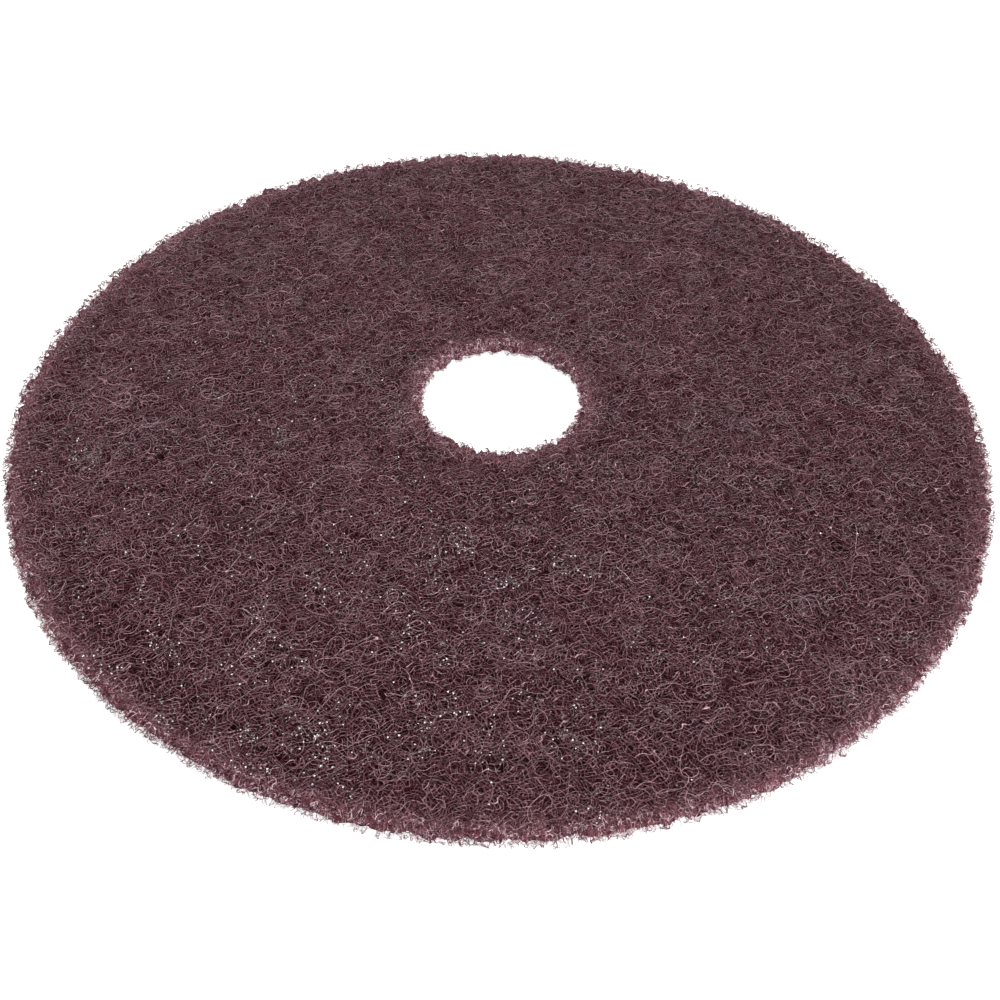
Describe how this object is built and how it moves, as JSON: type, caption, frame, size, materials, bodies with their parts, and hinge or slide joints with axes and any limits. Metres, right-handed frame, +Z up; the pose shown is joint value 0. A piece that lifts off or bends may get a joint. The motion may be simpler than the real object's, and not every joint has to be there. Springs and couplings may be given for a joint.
{
  "type": "floor polishing pad",
  "caption": "Round flat floor pad of coarse maroon non-woven fibre web with a centre hole for the machine's hub.",
  "frame": {"origin": "centre of the face that lies on the floor", "axes": "+Z up through the centre hole, towards the machine's pad driver; +X and +Y lie in the floor face"},
  "size_m": [0.508, 0.508, 0.01],
  "materials": {
    "fibre_web": "coarse open web of crimped maroon fibres bonded with glossy resin and grit"
  },
  "bodies": {
    "root": {"pad": "fibre_web"}
  },
  "joints": []
}
